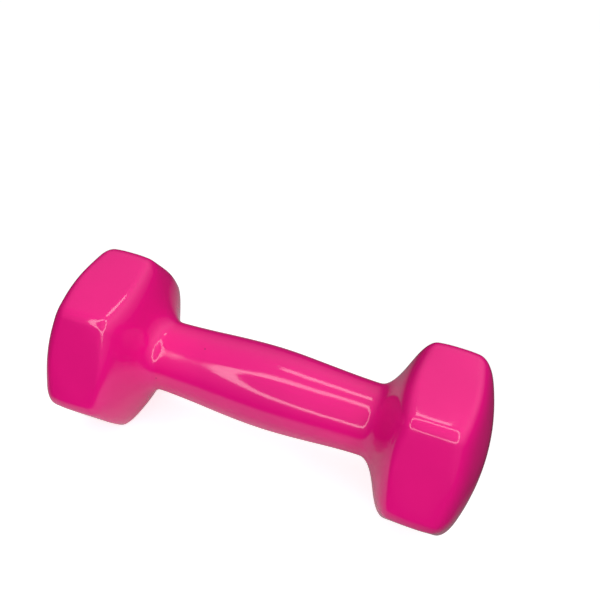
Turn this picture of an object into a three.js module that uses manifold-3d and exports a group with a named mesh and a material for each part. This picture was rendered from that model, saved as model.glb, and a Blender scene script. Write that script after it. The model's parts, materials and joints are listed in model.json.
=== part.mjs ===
// A vinyl-dipped hand dumbbell, in millimetres, with +Z up and +X along the handle.
//
// The real object is an iron casting with two hexagonal heads and a swelling handle.
// It hangs from a rod screwed into one end while it is dipped in liquid vinyl, so the
// vinyl is one continuous skin with a single hole in it, and a vinyl plug closes that hole.
//
// The casting's shape is a turned body cut to a hexagonal bar. The turned body has a crowned
// end face, a cone behind each head and a swelling handle. The bar's six sides cut only the
// heads, so each flat has arched ends where it meets the crown and the cone. Every edge is
// blended, as thick vinyl does. The origin is under the middle of the handle, on the surface
// that the lowest flats of the two heads rest on.
import * as THREE from "three";
import Module from "manifold-3d";

// Driving dimensions.
const HALF_LENGTH = 102; // middle of the handle to the crown of an end face
const HALF_FLATS = 39.1; // axis to a flat of a head, so a head is 78.2 across its flats
const CORNER_RADIUS = 7; // rounding of a head's six corners
const RIDGE_ARCH = 1.6; // how far a corner's ridge falls from its middle to its ends
const END_CROWN = 8.4; // how far an end face bulges beyond the edge of a flat
const RIM_BLEND = 8.7; // blend between an end face and the flats
const CONE_TOP_X = 63.7; // where the cone behind a head reaches the flats
const SHOULDER_BLEND = 8.4; // blend between the cone and the flats
const HANDLE_END_X = 53.8; // where the cone meets the handle
const FILLET_BLEND = 10; // blend in that inner corner
const HANDLE_END_RADIUS = 16.9;
const HANDLE_MIDDLE_RADIUS = 19.4; // the handle swells towards its middle
const COAT = 2.2; // thickness of the vinyl
const GAP = 0.3; // clearance between two pieces that touch

// The hole that the dipping rod leaves, in the middle of the end face at -X.
const HOLE_RADIUS = 3.2;
const HOLE_DEPTH = 16;
const PLUG_HEAD_RADIUS = 5; // the plug is wider in the vinyl than in the iron
const PLUG_SINK = 0.2; // depth of the plug's face below the vinyl around it
const PLUG_SHORT = 3; // empty depth left under the plug's stem
const CUT_CLEAR = 2; // how far a cutting shape stands out of the end face

// The weight mark cast on each end face: a row of round pips.
const PIPS = 3;
const PIP_PITCH = 13;
const PIP_RADIUS = 3;
const PIP_HEIGHT = 0.8;
const PIP_DROP = 16; // distance of the row below the axis
const PIP_EASE = 0.4; // softened edge of a pip's top

// Steps of the faceted surfaces.
const CORNER_STEPS = 4;
const CROWN_STEPS = 4;
const RIM_STEPS = 6;
const CONE_STEPS = 6;
const FILLET_STEPS = 3;
const HANDLE_STEPS = 5;
const HOLE_SIDES = 16;

const PINK = 0xe4157a;
const IRON = 0x4a4a4c;

const wasm = await Module();
wasm.setup();

// A hexagon's corner is farther from its middle than its side is, by this factor.
const HEXAGON = 1 / Math.cos(Math.PI / 6);
const CORNER_DISTANCE = (HALF_FLATS - CORNER_RADIUS) * HEXAGON + CORNER_RADIUS;
const CONE_SLOPE = (HALF_FLATS - HANDLE_END_RADIUS) / (CONE_TOP_X - HANDLE_END_X);
const CONE_SHIFT = Math.hypot(1, CONE_SLOPE) / CONE_SLOPE; // along X, for each unit of inset
const HEAD_MIDDLE_X = (CONE_TOP_X + HALF_LENGTH - END_CROWN) / 2;
const HALF_RIDGE = HEAD_MIDDLE_X - CONE_TOP_X;

// The smaller of two distances, blended where they are nearly equal; softMax is its opposite.
function softMin(a, b, blend) {
  const near = Math.max(blend - Math.abs(a - b), 0) / blend;
  return Math.min(a, b) - (near * near * blend) / 4;
}
const softMax = (a, b, blend) => -softMin(-a, -b, blend);

// Where the crown stands at a distance from the axis, and where the cone does.
const crownX = (radius, inset) => HALF_LENGTH - inset - END_CROWN * (radius / HALF_FLATS) ** 2;
const coneX = (radius, inset) =>
  HANDLE_END_X + inset * CONE_SHIFT + (radius - HANDLE_END_RADIUS) / CONE_SLOPE;

// The radius of the turned body at x. inset moves every surface inwards by that much.
function turnedRadius(x, inset) {
  if (x > HEAD_MIDDLE_X) return HALF_FLATS * Math.sqrt((crownX(0, inset) - x) / END_CROWN);
  const swell = 0.5 * (1 + Math.cos((Math.PI * Math.min(x, HANDLE_END_X)) / HANDLE_END_X));
  const handle = HANDLE_END_RADIUS - inset + (HANDLE_MIDDLE_RADIUS - HANDLE_END_RADIUS) * swell;
  const cone = HANDLE_END_RADIUS + (x - coneX(HANDLE_END_RADIUS, inset)) * CONE_SLOPE;
  return softMax(handle, cone, FILLET_BLEND);
}

// Evenly spaced values after the first one, up to and including the last one.
const spread = (first, last, steps) =>
  Array.from({ length: steps }, (_, i) => first + ((last - first) * (i + 1)) / steps);

// The places of the outlines of one half, from the crown to the middle of the handle.
function stations(inset) {
  const rimStart = HALF_FLATS - RIM_BLEND;
  const rimEnd = CORNER_DISTANCE + RIM_BLEND;
  const crown = [...spread(0, rimStart, CROWN_STEPS), ...spread(rimStart, rimEnd, RIM_STEPS)];
  const coneTop = coneX(CORNER_DISTANCE + SHOULDER_BLEND, inset);
  const coneFoot = coneX(HANDLE_END_RADIUS + FILLET_BLEND, inset);
  const filletEnd = coneX(HANDLE_END_RADIUS - FILLET_BLEND, inset);
  return [
    ...crown.map((radius) => crownX(radius, inset)),
    coneTop,
    ...spread(coneTop, coneFoot, CONE_STEPS),
    ...spread(coneFoot, filletEnd, FILLET_STEPS),
    ...spread(filletEnd, 0, HANDLE_STEPS),
  ];
}

// The outline at x: a hexagon with rounded corners and a flat at the top and the bottom.
// Where the turned body is smaller than the bar, the corners are so round that it is a circle.
function outline(x, inset) {
  const turned = turnedRadius(Math.abs(x), inset);
  const blend = Math.abs(x) > HEAD_MIDDLE_X ? RIM_BLEND : SHOULDER_BLEND;
  const flats = softMin(HALF_FLATS - inset, turned, blend);
  const arch = RIDGE_ARCH * ((Math.abs(x) - HEAD_MIDDLE_X) / HALF_RIDGE) ** 2;
  const reach = softMin(CORNER_DISTANCE - arch - inset, turned, blend);
  const corner = Math.min(flats, (flats * HEXAGON - reach) / (HEXAGON - 1));
  const centreDistance = (flats - corner) * HEXAGON;
  const ring = [];
  for (let side = 0; side < 6; side++) {
    const flatAngle = (side * Math.PI) / 3;
    const cornerAngle = flatAngle + Math.PI / 6;
    for (let k = 0; k <= CORNER_STEPS; k++) {
      const angle = flatAngle + (Math.PI / 3) * (k / CORNER_STEPS);
      const y = centreDistance * Math.sin(cornerAngle) + corner * Math.sin(angle);
      const z = centreDistance * Math.cos(cornerAngle) + corner * Math.cos(angle);
      ring.push([x, y, z + HALF_FLATS]);
    }
  }
  return ring;
}

// The closed surface through all outlines, with a point at each crown.
function shell(inset) {
  const half = stations(inset);
  const places = [...half, ...half.slice(0, -1).reverse().map((x) => -x)];
  const rings = places.map((x) => outline(x, inset));
  const crown = crownX(0, inset);
  const positions = [crown, 0, HALF_FLATS, ...rings.flat(2), -crown, 0, HALF_FLATS];
  const size = rings[0].length;
  const last = positions.length / 3 - 1;
  const index = [];
  for (let k = 0; k < size; k++) {
    const next = (k + 1) % size;
    index.push(0, 1 + next, 1 + k);
    for (let r = 0; r < rings.length - 1; r++) {
      const near = 1 + r * size;
      const far = near + size;
      index.push(near + k, near + next, far + k);
      index.push(near + next, far + next, far + k);
    }
    const end = 1 + (rings.length - 1) * size;
    index.push(last, end + k, end + next);
  }
  return solid(positions, index);
}

// Vertices and triangles as a solid that can be joined and cut.
function solid(positions, index) {
  const mesh = new wasm.Mesh({
    numProp: 3,
    vertProperties: new Float32Array(positions),
    triVerts: new Uint32Array(index),
  });
  return new wasm.Manifold(mesh);
}

// A solid turned about a line along X, at the given y and z, from [x, radius] pairs.
function lathe(profile, y, z) {
  const positions = [];
  const index = [];
  const rings = profile.length;
  for (const [x, radius] of profile) {
    for (let k = 0; k < HOLE_SIDES; k++) {
      const angle = (2 * Math.PI * k) / HOLE_SIDES;
      positions.push(x, y + radius * Math.cos(angle), z + radius * Math.sin(angle));
    }
  }
  const first = positions.length / 3;
  positions.push(profile[0][0], y, z, profile[rings - 1][0], y, z);
  for (let k = 0; k < HOLE_SIDES; k++) {
    const next = (k + 1) % HOLE_SIDES;
    index.push(first, next, k);
    for (let r = 0; r < rings - 1; r++) {
      const near = r * HOLE_SIDES;
      const far = near + HOLE_SIDES;
      index.push(near + k, near + next, far + k);
      index.push(near + next, far + next, far + k);
    }
    const end = (rings - 1) * HOLE_SIDES;
    index.push(first + 1, end + k, end + next);
  }
  return solid(positions, index);
}

// The pips of one end face: low round bosses with a softened top.
function pips(side) {
  const z = HALF_FLATS - PIP_DROP;
  return Array.from({ length: PIPS }, (_, i) => {
    const y = (i - (PIPS - 1) / 2) * PIP_PITCH;
    const top = side * (crownX(Math.hypot(y, PIP_DROP), 0) + PIP_HEIGHT);
    const root = top - side * (PIP_HEIGHT + COAT / 2);
    const profile = [
      [root, PIP_RADIUS],
      [top - side * PIP_EASE, PIP_RADIUS],
      [top, PIP_RADIUS - PIP_EASE],
    ];
    return lathe(side > 0 ? profile : profile.reverse(), y, z);
  });
}

// The dipping hole: wide through the vinyl and narrow in the iron, both from outside the end.
const outsideX = -HALF_LENGTH - CUT_CLEAR;
const ironEndX = -HALF_LENGTH + COAT + GAP;
const holeEndX = ironEndX + HOLE_DEPTH;

function makeCore() {
  const hole = lathe([[outsideX, HOLE_RADIUS], [holeEndX, HOLE_RADIUS]], 0, HALF_FLATS);
  return shell(COAT + GAP).subtract(hole);
}

function makeCoat() {
  const wide = PLUG_HEAD_RADIUS;
  const opening = lathe([[outsideX, wide], [ironEndX, wide]], 0, HALF_FLATS);
  const skin = [...pips(1), ...pips(-1)].reduce((coat, pip) => coat.add(pip), shell(0));
  return skin.subtract(shell(COAT)).subtract(opening);
}

function makePlug() {
  const headRadius = PLUG_HEAD_RADIUS - GAP;
  const stemRadius = HOLE_RADIUS - GAP;
  const underHeadX = ironEndX - GAP;
  return lathe(
    [
      [-HALF_LENGTH + PLUG_SINK, headRadius],
      [underHeadX, headRadius],
      [underHeadX, stemRadius],
      [holeEndX - PLUG_SHORT, stemRadius],
    ],
    0,
    HALF_FLATS,
  );
}

// A named mesh of a solid.
function piece(name, body, material) {
  const { vertProperties, triVerts } = body.getMesh();
  const geometry = new THREE.BufferGeometry();
  geometry.setAttribute("position", new THREE.BufferAttribute(vertProperties, 3));
  geometry.setIndex(new THREE.BufferAttribute(triVerts, 1));
  geometry.computeVertexNormals();
  const mesh = new THREE.Mesh(geometry, material);
  mesh.name = name;
  return mesh;
}

const iron = new THREE.MeshStandardMaterial({ color: IRON, roughness: 0.8, metalness: 0.6 });
const vinyl = new THREE.MeshStandardMaterial({ color: PINK, roughness: 0.15, metalness: 0 });
const plugVinyl = new THREE.MeshStandardMaterial({ color: PINK, roughness: 0.3, metalness: 0 });

const dumbbell = new THREE.Group();
dumbbell.add(piece("iron_core", makeCore(), iron));
dumbbell.add(piece("vinyl_coat", makeCoat(), vinyl));
dumbbell.add(piece("hanger_hole_plug", makePlug(), plugVinyl));

export default dumbbell;
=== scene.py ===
"""A vinyl-dipped hand dumbbell: an iron casting, its pink vinyl skin and the plug of the dipping hole."""

import json
import math

import bmesh
import bpy
from mathutils import Matrix, Vector

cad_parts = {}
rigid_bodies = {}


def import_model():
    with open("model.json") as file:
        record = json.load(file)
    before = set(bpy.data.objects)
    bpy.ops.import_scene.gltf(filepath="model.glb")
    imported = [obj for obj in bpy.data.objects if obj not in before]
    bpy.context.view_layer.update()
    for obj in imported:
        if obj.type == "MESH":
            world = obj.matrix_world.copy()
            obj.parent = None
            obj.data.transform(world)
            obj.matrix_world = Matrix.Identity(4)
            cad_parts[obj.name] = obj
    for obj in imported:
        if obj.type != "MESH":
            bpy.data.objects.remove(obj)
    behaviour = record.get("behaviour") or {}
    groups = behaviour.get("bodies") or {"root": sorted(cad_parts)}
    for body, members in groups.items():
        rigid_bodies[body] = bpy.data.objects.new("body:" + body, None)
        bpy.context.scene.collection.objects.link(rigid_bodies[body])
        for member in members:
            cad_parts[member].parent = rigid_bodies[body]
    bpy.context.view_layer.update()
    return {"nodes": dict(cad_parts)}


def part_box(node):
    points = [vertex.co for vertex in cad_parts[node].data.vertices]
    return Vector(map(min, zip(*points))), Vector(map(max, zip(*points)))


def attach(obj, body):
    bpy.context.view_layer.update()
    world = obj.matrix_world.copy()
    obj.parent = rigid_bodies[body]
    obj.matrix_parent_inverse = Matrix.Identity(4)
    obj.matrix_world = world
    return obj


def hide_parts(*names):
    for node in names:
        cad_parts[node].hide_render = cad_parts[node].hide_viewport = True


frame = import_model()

bl_info = {
    "name": "Vinyl-dipped dumbbell",
    "version": (1, 0, 0),
    "blender": (4, 5, 0),
    "location": "3D View > Sidebar > Dumbbell",
    "description": "Models the vinyl skin and plug of a hand dumbbell round its iron casting",
    "category": "Object",
}

COAT_LOW, COAT_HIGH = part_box("vinyl_coat")
PLUG_LOW, PLUG_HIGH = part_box("hanger_hole_plug")

HALF_LENGTH = COAT_HIGH.x
HALF_FLATS = COAT_HIGH.z / 2
AXIS_Z = HALF_FLATS
MM = 0.001
NEAR = 1e-6


# ---------------------------------------------------------------- sizes and colours


class SkinSizes(bpy.types.PropertyGroup):
    """Sizes and colour of the vinyl skin."""

    corner_radius: bpy.props.FloatProperty(
        name="Corner radius", description="Rounding of a head's six corners",
        default=7 * MM, unit="LENGTH",
    )
    ridge_arch: bpy.props.FloatProperty(
        name="Ridge arch", description="How far a corner's ridge falls from its middle to its ends",
        default=1.6 * MM, unit="LENGTH",
    )
    crown: bpy.props.FloatProperty(
        name="End crown", description="How far an end face bulges beyond the edge of a flat",
        default=8.4 * MM, unit="LENGTH",
    )
    rim_blend: bpy.props.FloatProperty(
        name="Rim blend", description="Blend between an end face and the flats",
        default=8.7 * MM, unit="LENGTH",
    )
    cone_top_x: bpy.props.FloatProperty(
        name="Cone top", description="Where the cone behind a head reaches the flats",
        default=63.7 * MM, unit="LENGTH",
    )
    shoulder_blend: bpy.props.FloatProperty(
        name="Shoulder blend", description="Blend between the cone and the flats",
        default=8.4 * MM, unit="LENGTH",
    )
    handle_end_x: bpy.props.FloatProperty(
        name="Handle end", description="Where the cone meets the handle",
        default=53.8 * MM, unit="LENGTH",
    )
    fillet_blend: bpy.props.FloatProperty(
        name="Fillet blend", description="Blend where the handle meets a head",
        default=10 * MM, unit="LENGTH",
    )
    handle_end_radius: bpy.props.FloatProperty(
        name="Handle end radius", description="Radius of the handle beside a head",
        default=16.9 * MM, unit="LENGTH",
    )
    handle_middle_radius: bpy.props.FloatProperty(
        name="Handle middle radius", description="Radius of the handle where it swells most",
        default=19.4 * MM, unit="LENGTH",
    )
    thickness: bpy.props.FloatProperty(
        name="Vinyl thickness", description="Thickness of the vinyl", default=2.2 * MM, unit="LENGTH",
    )
    waviness: bpy.props.FloatProperty(
        name="Waviness", description="Depth of the shallow hollows that dipping leaves",
        default=0.35 * MM, unit="LENGTH",
    )
    color: bpy.props.FloatVectorProperty(
        name="Vinyl colour", description="Colour of the vinyl", subtype="COLOR", size=3,
        default=(0.86, 0.006, 0.225),
    )


class MarkSizes(bpy.types.PropertyGroup):
    """Sizes of the raised weight mark on the end faces."""

    count: bpy.props.IntProperty(name="Pips", description="Pips in the row on an end face", default=3)
    pitch: bpy.props.FloatProperty(
        name="Pip pitch", description="Distance between two pips", default=13 * MM, unit="LENGTH",
    )
    radius: bpy.props.FloatProperty(
        name="Pip radius", description="Radius of a pip's foot", default=3.2 * MM, unit="LENGTH",
    )
    height: bpy.props.FloatProperty(
        name="Pip height", description="How far a pip stands out", default=0.5 * MM, unit="LENGTH",
    )
    drop: bpy.props.FloatProperty(
        name="Row drop", description="Distance of the row below the axis", default=16 * MM, unit="LENGTH",
    )


class PlugSizes(bpy.types.PropertyGroup):
    """Sizes of the plug in the dipping hole."""

    hole_radius: bpy.props.FloatProperty(
        name="Hole radius", description="Radius of the hole in the vinyl", default=5 * MM, unit="LENGTH",
    )
    stem_radius: bpy.props.FloatProperty(
        name="Stem radius", description="Radius of the plug's stem", default=2.9 * MM, unit="LENGTH",
    )
    edge_round: bpy.props.FloatProperty(
        name="Edge rounding", description="Rounding of the plug's edge", default=0.5 * MM, unit="LENGTH",
    )
    dimple_depth: bpy.props.FloatProperty(
        name="Dimple depth", description="Depth of the moulding dimple", default=0.4 * MM, unit="LENGTH",
    )


class StageSizes(bpy.types.PropertyGroup):
    """Camera and floor."""

    azimuth: bpy.props.FloatProperty(
        name="Camera azimuth", description="Turn of the camera round the dumbbell",
        default=math.radians(19.7), subtype="ANGLE",
    )
    elevation: bpy.props.FloatProperty(
        name="Camera elevation", description="Height of the camera above the horizon",
        default=math.radians(45.9), subtype="ANGLE",
    )
    roll: bpy.props.FloatProperty(
        name="Camera roll", description="Tilt of the camera to one side",
        default=math.radians(1.6), subtype="ANGLE",
    )
    distance: bpy.props.FloatProperty(
        name="Camera distance", description="From the camera to the point that it looks at",
        default=0.467, unit="LENGTH",
    )
    target: bpy.props.FloatVectorProperty(
        name="Camera target", description="The point of the floor that the camera looks at",
        default=(-0.0257, 0.0956, 0.0), subtype="TRANSLATION", size=3,
    )
    lens: bpy.props.FloatProperty(
        name="Camera lens", description="Focal length in millimetres", default=48.0,
    )
    shift: bpy.props.FloatVectorProperty(
        name="Camera shift", description="Sideways and upward shift of the frame",
        default=(0.020, -0.012), size=2,
    )
    floor_size: bpy.props.FloatProperty(
        name="Floor size", description="Side of the square floor", default=6.0, unit="LENGTH",
    )


# ---------------------------------------------------------------- modelling helpers


def deselect_all():
    for item in bpy.context.view_layer.objects:
        item.select_set(False)


def name_piece(piece, name):
    piece.name = name
    piece.data.name = name


def add_ring(name, sides, radius, x, fill="NOTHING"):
    """Adds a ring round the handle's axis and goes into edit mode."""
    deselect_all()
    bpy.ops.mesh.primitive_circle_add(
        vertices=sides, radius=radius, fill_type=fill,
        location=(x, 0, AXIS_Z), rotation=(0, math.pi / 2, 0),
    )
    piece = bpy.context.object
    name_piece(piece, name)
    bpy.ops.object.transform_apply(location=True, rotation=True, scale=True)
    bpy.ops.object.mode_set(mode="EDIT")
    bpy.ops.mesh.select_all(action="SELECT")
    return piece


def axis_distance(point):
    return math.hypot(point.y, point.z - AXIS_Z)


def select_where(piece, kind, test):
    """Selects the vertices, edges or faces that pass the test, in edit mode."""
    bpy.ops.mesh.select_all(action="DESELECT")
    bpy.ops.mesh.select_mode(type={"verts": "VERT", "edges": "EDGE", "faces": "FACE"}[kind])
    mesh = bmesh.from_edit_mesh(piece.data)
    for item in getattr(mesh, kind):
        if test(item):
            item.select = True
    mesh.select_flush_mode()
    bmesh.update_edit_mesh(piece.data)


def lies_at(x):
    """A test for edges that lie in the plane at x."""
    return lambda edge: all(abs(vertex.co.x - x) < NEAR for vertex in edge.verts)


def selected_points(piece):
    mesh = bmesh.from_edit_mesh(piece.data)
    return [vertex.co.copy() for vertex in mesh.verts if vertex.select]


def ring_to(piece, x, flats, corners):
    """Draws the selected ring out to x, then makes it rounder and sizes it.

    Its flats and its corners end up at the given distances from the axis.
    """
    centre = (x, 0, AXIS_Z)
    here = selected_points(piece)[0].x
    bpy.ops.mesh.extrude_edges_move(TRANSFORM_OT_translate={"value": (x - here, 0, 0)})
    distances = [axis_distance(point) for point in selected_points(piece)]
    near, far, mean = min(distances), max(distances), sum(distances) / len(distances)
    excess = far - near * corners / flats
    rounder = 0.0
    if excess > NEAR / 10:
        rounder = excess / (excess + mean * (corners / flats - 1))
        bpy.ops.transform.tosphere(value=rounder, center_override=centre)
    size = flats / (near + (mean - near) * rounder)
    bpy.ops.transform.resize(value=(1, size, size), center_override=centre)


def apply_modifier(piece, kind, **settings):
    """Adds a modifier with its settings and applies it."""
    bpy.context.view_layer.objects.active = piece
    modifier = piece.modifiers.new(kind.title(), kind)
    for key, value in settings.items():
        setattr(modifier, key, value)
    bpy.ops.object.modifier_apply(modifier=modifier.name)


# ---------------------------------------------------------------- materials


def new_material(name, slot):
    material = bpy.data.materials.new(name)
    material.use_nodes = True
    nodes = material.node_tree.nodes
    nodes.clear()
    output = nodes.new("ShaderNodeOutputMaterial")
    shader = nodes.new("ShaderNodeBsdfPrincipled")
    material.node_tree.links.new(shader.outputs["BSDF"], output.inputs["Surface"])
    material["slot"] = slot
    return material, shader


def noise(material, scale, detail=2.0, roughness=0.5, offset=(0, 0, 0)):
    """A noise pattern that is fixed to the piece, with features of about 1/scale metres."""
    nodes, links = material.node_tree.nodes, material.node_tree.links
    place = nodes.new("ShaderNodeTexCoord")
    move = nodes.new("ShaderNodeMapping")
    move.inputs["Location"].default_value = offset
    pattern = nodes.new("ShaderNodeTexNoise")
    pattern.inputs["Scale"].default_value = scale
    pattern.inputs["Detail"].default_value = detail
    pattern.inputs["Roughness"].default_value = roughness
    links.new(place.outputs["Object"], move.inputs["Vector"])
    links.new(move.outputs["Vector"], pattern.inputs["Vector"])
    return pattern.outputs["Fac"]


def ranged(material, value, low, high, start=0.0, end=1.0):
    """Maps a pattern's values from low..high to start..end."""
    node = material.node_tree.nodes.new("ShaderNodeMapRange")
    node.inputs["From Min"].default_value = low
    node.inputs["From Max"].default_value = high
    node.inputs["To Min"].default_value = start
    node.inputs["To Max"].default_value = end
    material.node_tree.links.new(value, node.inputs["Value"])
    return node.outputs["Result"]


def mixed(material, factor, first, second):
    """Mixes two colours by a pattern. Each colour is a tuple or another node's output."""
    node = material.node_tree.nodes.new("ShaderNodeMix")
    node.data_type = "RGBA"
    links = material.node_tree.links
    links.new(factor, node.inputs["Factor"])
    for socket, color in ((node.inputs[6], first), (node.inputs[7], second)):
        if isinstance(color, tuple):
            socket.default_value = (*color, 1.0)
        else:
            links.new(color, socket)
    return node.outputs[2]


def bumped(material, shader, layers):
    """Chains bump layers of (height, strength, distance) into the shader's normal."""
    nodes, links = material.node_tree.nodes, material.node_tree.links
    normal = None
    for height, strength, distance in layers:
        bump = nodes.new("ShaderNodeBump")
        bump.inputs["Strength"].default_value = strength
        bump.inputs["Distance"].default_value = distance
        links.new(height, bump.inputs["Height"])
        if normal:
            links.new(normal, bump.inputs["Normal"])
        normal = bump.outputs["Normal"]
    links.new(normal, shader.inputs["Normal"])


def scaled(color, factor):
    return tuple(min(1.0, part * factor) for part in color)


def vinyl_material(name, slot, color, roughness):
    """Glossy dipped vinyl: nearly even colour, faint clouding, orange peel and stray specks."""
    material, shader = new_material(name, slot)
    clouding = noise(material, 22, detail=3)
    base = mixed(material, ranged(material, clouding, 0.3, 0.7), scaled(color, 0.95), scaled(color, 1.04))
    specks = ranged(material, noise(material, 260, detail=1, offset=(0.37, 0.11, 0.05)), 0.83, 0.85)
    base = mixed(material, specks, base, scaled(color, 0.45))
    material.node_tree.links.new(base, shader.inputs["Base Color"])
    haze = ranged(material, noise(material, 45, detail=4), 0.3, 0.7, roughness, roughness + 0.05)
    material.node_tree.links.new(haze, shader.inputs["Roughness"])
    shader.inputs["IOR"].default_value = 1.5
    peel = noise(material, 420, detail=2)
    slow = noise(material, 60, detail=2, offset=(0.2, 0.4, 0.1))
    bumped(material, shader, [(slow, 0.1, 0.0006), (peel, 0.03, 0.00012)])
    return material


def iron_material():
    """Grey iron as cast: dark, rough and grainy."""
    material, shader = new_material("cast_iron_as_cast", "cast_iron")
    patches = ranged(material, noise(material, 60, detail=6), 0.35, 0.7)
    base = mixed(material, patches, (0.045, 0.045, 0.048), (0.105, 0.1, 0.095))
    material.node_tree.links.new(base, shader.inputs["Base Color"])
    grain = noise(material, 900, detail=5, roughness=0.7)
    haze = ranged(material, grain, 0.3, 0.7, 0.6, 0.9)
    material.node_tree.links.new(haze, shader.inputs["Roughness"])
    shader.inputs["Metallic"].default_value = 0.7
    bumped(material, shader, [(patches, 0.3, 0.0004), (grain, 0.6, 0.0004)])
    return material


def set_material(piece, material):
    piece.data.materials.clear()
    piece.data.materials.append(material)


# ---------------------------------------------------------------- the vinyl skin

HEXAGON = 1 / math.cos(math.pi / 6)
SMOOTH_ANGLE = math.radians(50)
VINYL_ROUGHNESS = 0.07
CORNER_SEGMENTS = 6
FLAT_PARTS = 6
FLATS_RINGS = 3
RIM_RINGS = 14
CROWN_RINGS = 20
CONE_RINGS = 12
FILLET_RINGS = 6
HANDLE_RINGS = 14
POLE_RINGS = 5


def soft_min(a, b, blend):
    """The smaller of two distances, blended where they are nearly equal."""
    near = max(blend - abs(a - b), 0) / blend
    return min(a, b) - near * near * blend / 4


def soft_max(a, b, blend):
    return -soft_min(-a, -b, blend)


def spread(first, last, steps):
    """Evenly spaced values after the first one, up to and including the last one."""
    return [first + (last - first) * (step + 1) / steps for step in range(steps)]


def corner_distance(sizes):
    """From the handle's axis to a head's rounded corner."""
    return (HALF_FLATS - sizes.corner_radius) * HEXAGON + sizes.corner_radius


def head_middle(sizes):
    """Where along x the flats of a head have their middle."""
    return (sizes.cone_top_x + HALF_LENGTH - sizes.crown) / 2


def across(sizes, x, turned, blend):
    """The distances of flats and corners from the axis, where the turned shape has a radius."""
    middle = head_middle(sizes)
    arch = sizes.ridge_arch * ((x - middle) / (middle - sizes.cone_top_x)) ** 2
    flats = soft_min(HALF_FLATS, turned, blend)
    return flats, max(flats, soft_min(corner_distance(sizes) - arch, turned, blend))


def start_head(sizes, x):
    """The head's rounded hexagon, as a ring of edges at x."""
    piece = add_ring("dipped_vinyl_skin", 6, HALF_FLATS * HEXAGON, x)
    tangent = sizes.corner_radius * math.tan(math.pi / 6)
    bpy.ops.mesh.bevel(offset=tangent, segments=CORNER_SEGMENTS, affect="VERTICES")
    flat_length = 2 * (HALF_FLATS - sizes.corner_radius) * math.tan(math.pi / 6)
    select_where(piece, "edges", lambda edge: edge.calc_length() > flat_length * 0.9)
    bpy.ops.mesh.subdivide(number_cuts=FLAT_PARTS - 1)
    return piece


def crown_x(sizes, radius):
    """Where along x the crowned end face has a radius."""
    return HALF_LENGTH - sizes.crown * (radius / HALF_FLATS) ** 2


def outer_rings(sizes, hole_radius):
    """From the flats, over the rim and up the crown to the edge of the hole."""
    corner = corner_distance(sizes)
    rim_start = HALF_FLATS - sizes.rim_blend
    radii = [corner + sizes.rim_blend]
    radii += spread(radii[0], rim_start, RIM_RINGS)
    radii += spread(rim_start, hole_radius, CROWN_RINGS)
    for radius in radii:
        x = crown_x(sizes, radius)
        yield x, *across(sizes, x, radius, sizes.rim_blend)


def inner_rings(sizes):
    """From the flats, over the shoulder, down the cone and along half of the handle."""
    corner = corner_distance(sizes)
    foot = sizes.handle_end_radius
    slope = (HALF_FLATS - foot) / (sizes.cone_top_x - sizes.handle_end_x)
    swell = sizes.handle_middle_radius - foot

    def cone_x(radius):
        return sizes.handle_end_x + (radius - foot) / slope

    top = cone_x(corner + sizes.shoulder_blend)
    bottom = cone_x(foot + sizes.fillet_blend)
    end = cone_x(foot - sizes.fillet_blend)
    places = [top, *spread(top, bottom, CONE_RINGS), *spread(bottom, end, FILLET_RINGS)]
    places += spread(end, 0, HANDLE_RINGS)
    for x in places:
        along = min(x / sizes.handle_end_x, 1)
        handle = foot + swell * 0.5 * (1 + math.cos(math.pi * along))
        turned = soft_max(handle, foot + (x - sizes.handle_end_x) * slope, sizes.fillet_blend)
        yield x, *across(sizes, x, turned, sizes.shoulder_blend)


def make_skin(sizes, hole_radius):
    """Draws one head and half of the handle from a hexagon, and mirrors them."""
    middle = head_middle(sizes)
    piece = start_head(sizes, middle)
    for rings in (list(inner_rings(sizes)), list(outer_rings(sizes, hole_radius))):
        select_where(piece, "edges", lies_at(middle))
        for x in spread(middle, rings[0][0], FLATS_RINGS)[:-1]:
            ring_to(piece, x, *across(sizes, x, 2 * HALF_FLATS, sizes.rim_blend))
        for x, flats, corners in rings:
            ring_to(piece, x, flats, corners)
    bpy.ops.object.mode_set(mode="OBJECT")
    apply_modifier(piece, "MIRROR", use_axis=(True, False, False), merge_threshold=1e-5)
    close_plain_end(piece, sizes, hole_radius)
    apply_modifier(piece, "SUBSURF", levels=1, render_levels=1)
    return piece


def close_plain_end(piece, sizes, hole_radius):
    """Closes the crown of the end that has no hole."""
    bpy.ops.object.mode_set(mode="EDIT")
    select_where(piece, "edges", lambda edge: edge.is_boundary and edge.verts[0].co.x > 0)
    for step in range(1, POLE_RINGS):
        radius = hole_radius * (1 - step / POLE_RINGS)
        ring_to(piece, crown_x(sizes, radius), radius, radius)
    bpy.ops.mesh.extrude_edges_move(TRANSFORM_OT_translate={"value": (0, 0, 0)})
    bpy.ops.mesh.merge(type="CENTER")
    bpy.ops.mesh.select_all(action="SELECT")
    bpy.ops.mesh.remove_doubles(threshold=NEAR)
    bpy.ops.mesh.normals_make_consistent(inside=False)
    bpy.ops.object.mode_set(mode="OBJECT")


def raise_pips(piece, mark):
    """Lifts the row of pips on each end face, under the vinyl."""
    bpy.ops.object.mode_set(mode="EDIT")
    z = AXIS_Z - mark.drop
    for side in (-1, 1):
        for index in range(mark.count):
            y = (index - (mark.count - 1) / 2) * mark.pitch
            place = Vector((side * HALF_LENGTH, y, z))
            mesh = bmesh.from_edit_mesh(piece.data)
            nearest = min(mesh.verts, key=lambda vertex: (vertex.co - place).length)
            number = nearest.index
            select_where(piece, "verts", lambda vertex: vertex.index == number)
            bpy.ops.transform.translate(
                value=(side * mark.height, 0, 0), orient_type="GLOBAL", use_proportional_edit=True,
                proportional_edit_falloff="SPHERE", proportional_size=mark.radius,
            )
    bpy.ops.object.mode_set(mode="OBJECT")


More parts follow.
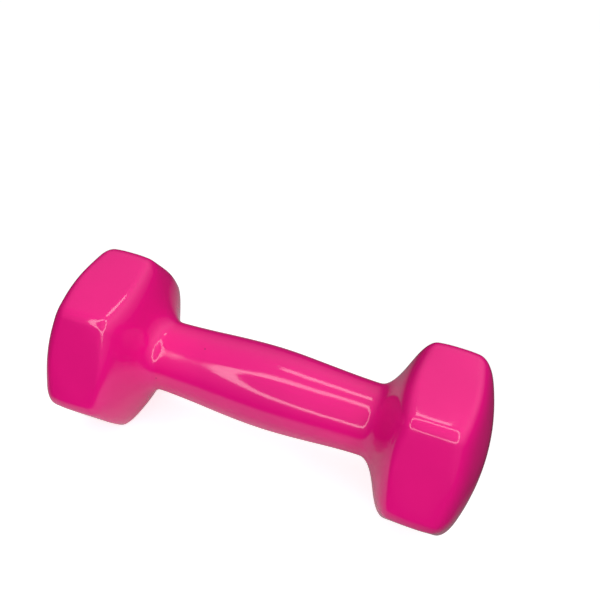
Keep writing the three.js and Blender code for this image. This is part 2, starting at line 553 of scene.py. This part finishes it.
def wave_skin(piece, depth):
    """Gives the vinyl the shallow hollows that it sets with as it drains.

    The middle level of 1 lets the pattern push the skin inwards only.
    """
    waves = bpy.data.textures.new("dipping_waves", "CLOUDS")
    waves.noise_scale = 0.03
    waves.noise_depth = 1
    apply_modifier(
        piece, "DISPLACE", texture=waves, texture_coords="LOCAL", strength=depth, mid_level=1,
    )
    bpy.data.textures.remove(waves)


class DUMBBELL_OT_skin(bpy.types.Operator):
    """Model the continuous vinyl skin, with the hole in one end and the pips on both"""

    bl_idname = "dumbbell.skin"
    bl_label = "Vinyl skin"

    def execute(self, context):
        scene = context.scene
        sizes = scene.dumbbell_skin
        piece = make_skin(sizes, scene.dumbbell_plug.hole_radius)
        raise_pips(piece, scene.dumbbell_mark)
        wave_skin(piece, sizes.waviness)
        apply_modifier(piece, "SOLIDIFY", thickness=sizes.thickness, offset=-1, use_even_offset=True)
        bpy.ops.object.shade_smooth_by_angle(angle=SMOOTH_ANGLE)
        color = tuple(sizes.color)
        set_material(piece, vinyl_material("dipped_vinyl_gloss", "dipped_vinyl", color, VINYL_ROUGHNESS))
        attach(piece, "root")
        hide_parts("vinyl_coat")
        return {"FINISHED"}


# ---------------------------------------------------------------- the plug

PLUG_SIDES = 48
PLUG_SMOOTH_ANGLE = math.radians(40)
PLUG_ROUGHNESS = 0.25
PLUG_SEAT_DEPTH = 2 * MM

# The rings of the plug's face: whether each lies in the dimple, and its share of the radius.
PLUG_FACE = ((False, 0.55), (False, 0.4), (True, 0.3), (True, 0.1))


def make_plug(plug):
    """Draws the plug's head, its dimpled face and its stem from one ring."""
    radius = (PLUG_HIGH.y - PLUG_LOW.y) / 2
    face_x = PLUG_LOW.x
    under_head_x = PLUG_SEAT_DEPTH - HALF_LENGTH
    piece = add_ring("hanger_hole_plug_moulded", PLUG_SIDES, radius, under_head_x)
    bpy.ops.mesh.extrude_edges_move(TRANSFORM_OT_translate={"value": (face_x - under_head_x, 0, 0)})
    for dimpled, share in PLUG_FACE:
        ring_x = face_x + plug.dimple_depth if dimpled else face_x
        ring_to(piece, ring_x, radius * share, radius * share)
    bpy.ops.mesh.edge_face_add()
    select_where(piece, "edges", lies_at(under_head_x))
    stem = plug.stem_radius
    tip = stem - plug.edge_round
    ring_to(piece, under_head_x, stem, stem)
    ring_to(piece, PLUG_HIGH.x - plug.edge_round, stem, stem)
    ring_to(piece, PLUG_HIGH.x, tip, tip)
    bpy.ops.mesh.edge_face_add()
    on_face = lies_at(face_x)
    select_where(piece, "edges", lambda edge: on_face(edge) and all(
        axis_distance(vertex.co) > radius * 0.98 for vertex in edge.verts
    ))
    bpy.ops.mesh.bevel(offset=plug.edge_round, segments=4, affect="EDGES")
    bpy.ops.mesh.select_all(action="SELECT")
    bpy.ops.mesh.remove_doubles(threshold=NEAR)
    bpy.ops.mesh.normals_make_consistent(inside=False)
    bpy.ops.object.mode_set(mode="OBJECT")
    bpy.ops.object.shade_smooth_by_angle(angle=PLUG_SMOOTH_ANGLE)
    return piece


class DUMBBELL_OT_plug(bpy.types.Operator):
    """Model the vinyl plug that closes the dipping hole"""

    bl_idname = "dumbbell.plug"
    bl_label = "Hole plug"

    def execute(self, context):
        piece = make_plug(context.scene.dumbbell_plug)
        color = scaled(tuple(context.scene.dumbbell_skin.color), 0.9)
        set_material(piece, vinyl_material("moulded_vinyl_plug", "plug_vinyl", color, PLUG_ROUGHNESS))
        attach(piece, "root")
        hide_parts("hanger_hole_plug")
        return {"FINISHED"}


class DUMBBELL_OT_core(bpy.types.Operator):
    """Give the iron casting inside the vinyl its rough, dark finish"""

    bl_idname = "dumbbell.core"
    bl_label = "Iron casting"

    def execute(self, context):
        set_material(frame["nodes"]["iron_core"], iron_material())
        return {"FINISHED"}


# ---------------------------------------------------------------- the stage

SHEET_CENTRE = (-0.04, -0.05, 0)
SHEET_RADIUS = 0.08
SHEET_FADED = 0.17

# The ring light round the camera: its centre, its size and its lamps.
RING_AZIMUTH = math.radians(16)
RING_ELEVATION = math.radians(56.5)
RING_DISTANCE = 0.5
RING_RADIUS = 0.31
RING_LAMPS = 36
RING_WIDTH = 0.065

# The long lamp behind the dumbbell.
BACK_LAMP_START = Vector((-0.12, 0.35, 0.80))
BACK_LAMP_END = Vector((0.15, 0.35, 0.80))
BACK_LAMP_WIDTH = 0.13

LAMP_RADIANCE = 4.5

# The room's brightness at the horizon and overhead, and how it grows along x and y.
ROOM_LOW = 0.1
ROOM_HIGH = 0.6
ROOM_SIDES = (0.75, 0.2, 0)


def add_floor(size):
    """A floor, white near the dumbbell and dark further off, that lights the dumbbell only from near it.
    To the camera alone it glows white, a painted glow that hides its shadow and its dark part.
    """
    deselect_all()
    bpy.ops.mesh.primitive_plane_add(size=size, location=(0, 0, 0))
    floor = bpy.context.object
    name_piece(floor, "studio_floor")
    material = bpy.data.materials.new("pale_floor")
    material.use_nodes = True
    nodes, links = material.node_tree.nodes, material.node_tree.links
    shader = nodes["Principled BSDF"]
    place = nodes.new("ShaderNodeTexCoord")
    away = nodes.new("ShaderNodeVectorMath")
    away.operation = "LENGTH"
    centre = nodes.new("ShaderNodeMapping")
    centre.inputs["Location"].default_value = tuple(-place for place in SHEET_CENTRE)
    links.new(place.outputs["Object"], centre.inputs["Vector"])
    links.new(centre.outputs["Vector"], away.inputs[0])
    sheet = ranged(material, away.outputs["Value"], SHEET_RADIUS, SHEET_FADED)
    color = mixed(material, sheet, (0.8, 0.8, 0.8), (0.04, 0.04, 0.04))
    links.new(color, shader.inputs["Base Color"])
    shader.inputs["Roughness"].default_value = 0.9
    shader.inputs["Specular IOR Level"].default_value = 0.0
    shader.inputs["Emission Color"].default_value = (1, 1, 1, 1)
    # Painted glow: only camera rays see the floor glow, more strongly where it is dark, so the whole
    # floor looks evenly white and the dumbbell's shadow is washed out.
    rays = nodes.new("ShaderNodeLightPath")
    glow = nodes.new("ShaderNodeMath")
    glow.operation = "MULTIPLY"
    links.new(rays.outputs["Is Camera Ray"], glow.inputs[0])
    links.new(ranged(material, sheet, 0, 1, 0.65, 1.0), glow.inputs[1])
    links.new(glow.outputs["Value"], shader.inputs["Emission Strength"])
    set_material(floor, material)


def on_dome(azimuth, elevation, radius):
    """A place at a distance from the origin. Azimuth 0 is in front, and angles are in radians."""
    return Vector((
        radius * math.sin(azimuth) * math.cos(elevation),
        -radius * math.cos(azimuth) * math.cos(elevation),
        radius * math.sin(elevation),
    ))


def add_camera(stage):
    """The camera looks at its target and is rolled about its line of sight."""
    back = on_dome(stage.azimuth, stage.elevation, stage.distance)
    look = (-back).to_track_quat("-Z", "Y")
    deselect_all()
    bpy.ops.object.camera_add(location=Vector(stage.target) + back, rotation=look.to_euler())
    camera = bpy.context.object
    camera.name = "camera"
    camera.rotation_euler.rotate_axis("Z", stage.roll)
    camera.data.sensor_width = 36
    camera.data.lens = stage.lens
    camera.data.shift_x, camera.data.shift_y = stage.shift
    camera.data.clip_start = 0.01
    bpy.context.scene.camera = camera


def add_tube(name, start, end, width):
    """A long flat lamp from one place to another that faces the dumbbell."""
    along = (end - start).normalized()
    middle = (start + end) / 2
    back = (middle - along * middle.dot(along)).normalized()
    lamp = bpy.data.lights.new(name, "AREA")
    lamp.shape = "RECTANGLE"
    lamp.size = (end - start).length
    lamp.size_y = width
    lamp.energy = LAMP_RADIANCE * math.pi * lamp.size * lamp.size_y
    tube = bpy.data.objects.new(name, lamp)
    bpy.context.collection.objects.link(tube)
    tube.location = middle
    tube.rotation_euler = Matrix((along, back.cross(along), back)).transposed().to_euler()


def add_ring_light(centre):
    """A ring of lamps round the camera, all facing the dumbbell."""
    back = centre.normalized()
    across_view = Vector((0, 0, 1)).cross(back).normalized()
    up = back.cross(across_view)
    places = []
    for index in range(RING_LAMPS + 1):
        turn = 2 * math.pi * index / RING_LAMPS
        places.append(centre + (across_view * math.cos(turn) + up * math.sin(turn)) * RING_RADIUS)
    for index in range(RING_LAMPS):
        add_tube(f"ring_lamp_{index + 1}", places[index], places[index + 1], RING_WIDTH)


def add_lights():
    """A ring light round the camera and a long lamp behind the dumbbell."""
    add_ring_light(on_dome(RING_AZIMUTH, RING_ELEVATION, RING_DISTANCE))
    add_tube("back_lamp", BACK_LAMP_START, BACK_LAMP_END, BACK_LAMP_WIDTH)


def add_world():
    """A pale room: dark at the horizon, bright overhead, and brighter behind and to the right."""
    world = bpy.data.worlds.new("studio_world")
    bpy.context.scene.world = world
    world.use_nodes = True
    nodes, links = world.node_tree.nodes, world.node_tree.links
    background = nodes["Background"]
    place = nodes.new("ShaderNodeTexCoord")
    split = nodes.new("ShaderNodeSeparateXYZ")
    height = nodes.new("ShaderNodeMapRange")
    height.interpolation_type = "SMOOTHSTEP"
    height.inputs["From Min"].default_value = -0.05
    height.inputs["From Max"].default_value = 0.6
    height.inputs["To Min"].default_value = ROOM_LOW
    height.inputs["To Max"].default_value = ROOM_HIGH
    side = nodes.new("ShaderNodeVectorMath")
    side.operation = "DOT_PRODUCT"
    side.inputs[1].default_value = ROOM_SIDES
    raised = nodes.new("ShaderNodeMath")
    raised.operation = "MULTIPLY_ADD"
    links.new(place.outputs["Generated"], split.inputs["Vector"])
    links.new(place.outputs["Generated"], side.inputs[0])
    links.new(split.outputs["Z"], height.inputs["Value"])
    links.new(height.outputs["Result"], raised.inputs[0])
    links.new(side.outputs["Value"], raised.inputs[1])
    links.new(height.outputs["Result"], raised.inputs[2])
    links.new(raised.outputs["Value"], background.inputs["Strength"])
    background.inputs["Color"].default_value = (1, 1, 1, 1)


class DUMBBELL_OT_stage(bpy.types.Operator):
    """Set up the floor, the lights and the camera"""

    bl_idname = "dumbbell.stage"
    bl_label = "Stage"

    def execute(self, context):
        stage = context.scene.dumbbell_stage
        add_camera(stage)
        add_floor(stage.floor_size)
        add_lights()
        add_world()
        context.scene.view_settings.view_transform = "Standard"
        return {"FINISHED"}


# ---------------------------------------------------------------- panel and main

OPERATORS = (DUMBBELL_OT_stage, DUMBBELL_OT_skin, DUMBBELL_OT_plug, DUMBBELL_OT_core)
GROUPS = {
    "dumbbell_skin": SkinSizes,
    "dumbbell_mark": MarkSizes,
    "dumbbell_plug": PlugSizes,
    "dumbbell_stage": StageSizes,
}


class DUMBBELL_PT_panel(bpy.types.Panel):
    """Lists the dumbbell's sizes and its operators"""

    bl_idname = "DUMBBELL_PT_panel"
    bl_label = "Dumbbell"
    bl_space_type = "VIEW_3D"
    bl_region_type = "UI"
    bl_category = "Dumbbell"

    def draw(self, context):
        for key in GROUPS:
            group = getattr(context.scene, key)
            box = self.layout.box()
            for name in group.__annotations__:
                box.prop(group, name)
        for operator in OPERATORS:
            self.layout.operator(operator.bl_idname)


def register():
    for item in (*GROUPS.values(), *OPERATORS, DUMBBELL_PT_panel):
        bpy.utils.register_class(item)
    for key, group in GROUPS.items():
        setattr(bpy.types.Scene, key, bpy.props.PointerProperty(type=group))


def unregister():
    for key in GROUPS:
        delattr(bpy.types.Scene, key)
    for item in (DUMBBELL_PT_panel, *OPERATORS, *GROUPS.values()):
        bpy.utils.unregister_class(item)


def main():
    register()
    bpy.ops.dumbbell.stage()
    bpy.ops.dumbbell.skin()
    bpy.ops.dumbbell.plug()
    bpy.ops.dumbbell.core()


if __name__ == "__main__":
    main()
